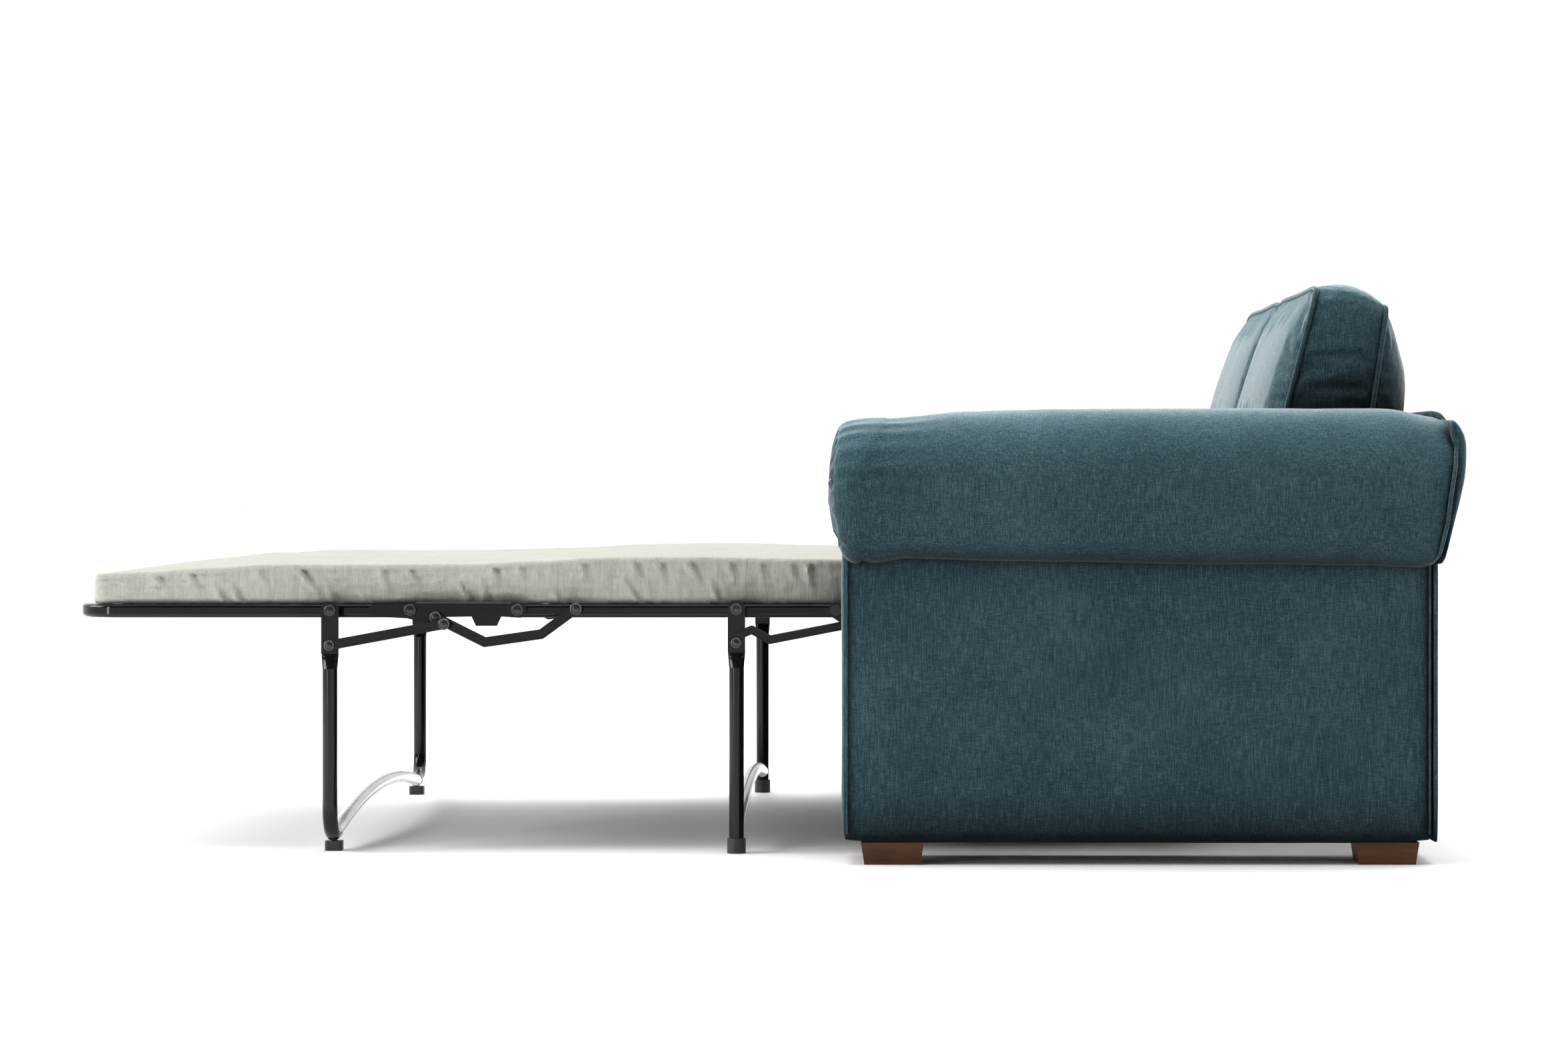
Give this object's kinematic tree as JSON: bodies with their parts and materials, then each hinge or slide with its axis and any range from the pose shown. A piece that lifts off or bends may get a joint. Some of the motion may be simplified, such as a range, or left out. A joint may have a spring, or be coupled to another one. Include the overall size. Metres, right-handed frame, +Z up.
{
  "type": "sofa bed",
  "caption": "Rolled-arm upholstered sofa with a pull-out folding steel bed opened in front, thin mattress on top, hoop legs and block feet.",
  "frame": {"origin": "on the floor, at the centre of the opened sofa bed's bounding box", "axes": "+Z up, -Y towards the foot of the bed, which is the way the sofa faces, +X to the right seen from the back"},
  "size_m": [1.78, 2.211, 0.915],
  "materials": {
    "upholstery": "teal-blue woven chenille",
    "mattress_ticking": "pale cotton ticking",
    "deck_cloth": "woven black sling",
    "spring_steel": "bright wire",
    "cap_plastic": "matt black",
    "white_bar": "pale satin lacquer",
    "walnut": "dark stained satin",
    "frame_board": "raw board",
    "rivet_steel": "dark plated",
    "black_steel": "gloss black enamel"
  },
  "bodies": {
    "sofa": {"arm_panel_right": "upholstery", "arm_panel_left": "upholstery", "arm_roll_right": "upholstery", "arm_roll_left": "upholstery", "rear_board": "frame_board", "outer_back": "upholstery", "back_scroll": "upholstery", "front_rail": "upholstery", "cushion_ledge": "frame_board", "back_cushion_right": "upholstery", "back_cushion_left": "upholstery", "foot_block_front_right": "walnut", "foot_block_front_left": "walnut", "foot_block_rear_right": "walnut", "foot_block_rear_left": "walnut", "mechanism_bracket_right": "black_steel", "mechanism_bracket_left": "black_steel", "bracket_bolts": "rivet_steel"},
    "cranks": {"crank_right": "black_steel", "crank_left": "black_steel"},
    "lift_arms": {"lift_arm_right": "black_steel", "lift_arm_left": "black_steel"},
    "middle_section": {"middle_rail_right": "black_steel", "middle_rail_left": "black_steel", "middle_tube_rear": "black_steel", "middle_tube_front": "black_steel", "middle_deck": "deck_cloth", "middle_springs": "spring_steel", "middle_pins": "rivet_steel", "mattress_middle": "mattress_ticking"},
    "hinge_plates": {"hinge_plate_right": "black_steel", "hinge_plate_left": "black_steel", "mattress_bend": "mattress_ticking"},
    "foot_section": {"foot_frame": "black_steel", "foot_tube": "black_steel", "foot_deck": "deck_cloth", "foot_springs": "spring_steel", "foot_bracket_right": "black_steel", "foot_bracket_left": "black_steel", "foot_pins": "rivet_steel", "mattress_foot": "mattress_ticking"},
    "v_links": {"v_link_right": "black_steel", "v_link_left": "black_steel"},
    "leg_hoop_1": {"leg_1_tube_right": "black_steel", "leg_1_tube_left": "black_steel", "leg_1_crossbar": "white_bar", "leg_1_caps": "cap_plastic"},
    "braces_1": {"brace_1_right": "black_steel", "brace_1_left": "black_steel"},
    "leg_hoop_2": {"leg_2_tube_right": "black_steel", "leg_2_tube_left": "black_steel", "leg_2_crossbar": "white_bar", "leg_2_caps": "cap_plastic"},
    "braces_2": {"brace_2_right": "black_steel", "brace_2_left": "black_steel"},
    "head_section": {"head_frame": "black_steel", "head_deck": "deck_cloth", "head_springs": "spring_steel", "mattress_head": "mattress_ticking"}
  },
  "joints": [
    {"name": "fold", "type": "hinge", "parent": "sofa", "child": "cranks", "pos_m": [0, 0.3333, 0.275], "axis": [-1, 0, 0], "range_deg": [-0.2, 272.6]},
    {"name": "lift", "type": "hinge", "parent": "cranks", "child": "lift_arms", "pos_m": [0, 0.4239, 0.1968], "axis": [-1, 0, 0], "range_deg": [-99.4, 0.2]},
    {"name": "middle_pivot", "type": "hinge", "parent": "lift_arms", "child": "middle_section", "pos_m": [0, 0.1225, 0.391], "axis": [-1, 0, 0], "range_deg": [-173.4, 0.2]},
    {"name": "plate_fold", "type": "hinge", "parent": "middle_section", "child": "hinge_plates", "pos_m": [0, -0.3915, 0.39], "axis": [-1, 0, 0], "range_deg": [0, 90]},
    {"name": "foot_fold", "type": "hinge", "parent": "hinge_plates", "child": "foot_section", "pos_m": [0, -0.5645, 0.39], "axis": [-1, 0, 0], "range_deg": [-0.2, 90.2]},
    {"name": "v_link_swing", "type": "hinge", "parent": "middle_section", "child": "v_links", "pos_m": [0, -0.2965, 0.392], "axis": [-1, 0, 0], "range_deg": [-0.2, 56.9]},
    {"name": "leg_1_fold", "type": "hinge", "parent": "foot_section", "child": "leg_hoop_1", "pos_m": [0, -0.6905, 0.39], "axis": [-1, 0, 0], "range_deg": [-0.2, 85.2]},
    {"name": "brace_1_swing", "type": "hinge", "parent": "leg_hoop_1", "child": "braces_1", "pos_m": [0, -0.6905, 0.334], "axis": [-1, 0, 0], "range_deg": [-77.7, 0.2]},
    {"name": "leg_2_fold", "type": "hinge", "parent": "middle_section", "child": "leg_hoop_2", "pos_m": [0, -0.0375, 0.392], "axis": [-1, 0, 0], "range_deg": [-0.2, 85.2]},
    {"name": "brace_2_swing", "type": "hinge", "parent": "leg_hoop_2", "child": "braces_2", "pos_m": [0, -0.0375, 0.338], "axis": [-1, 0, 0], "range_deg": [-81.4, 0.2]},
    {"name": "head_fold", "type": "hinge", "parent": "middle_section", "child": "head_section", "pos_m": [0, 0.2135, 0.374], "axis": [-1, 0, 0], "range_deg": [-0.2, 180.2]}
  ],
  "couplings": [
    {"joint": "fold", "follows": "plate_fold", "ratio": 3.0267},
    {"joint": "lift", "follows": "plate_fold", "ratio": -1.1022},
    {"joint": "middle_pivot", "follows": "plate_fold", "ratio": -1.9244},
    {"joint": "foot_fold", "follows": "plate_fold", "ratio": 1},
    {"joint": "v_link_swing", "follows": "plate_fold", "ratio": 0.63},
    {"joint": "leg_1_fold", "follows": "plate_fold", "ratio": 0.94444},
    {"joint": "brace_1_swing", "follows": "plate_fold", "ratio": -0.86111},
    {"joint": "leg_2_fold", "follows": "plate_fold", "ratio": 0.94444},
    {"joint": "brace_2_swing", "follows": "plate_fold", "ratio": -0.90222},
    {"joint": "head_fold", "follows": "plate_fold", "ratio": 2}
  ]
}
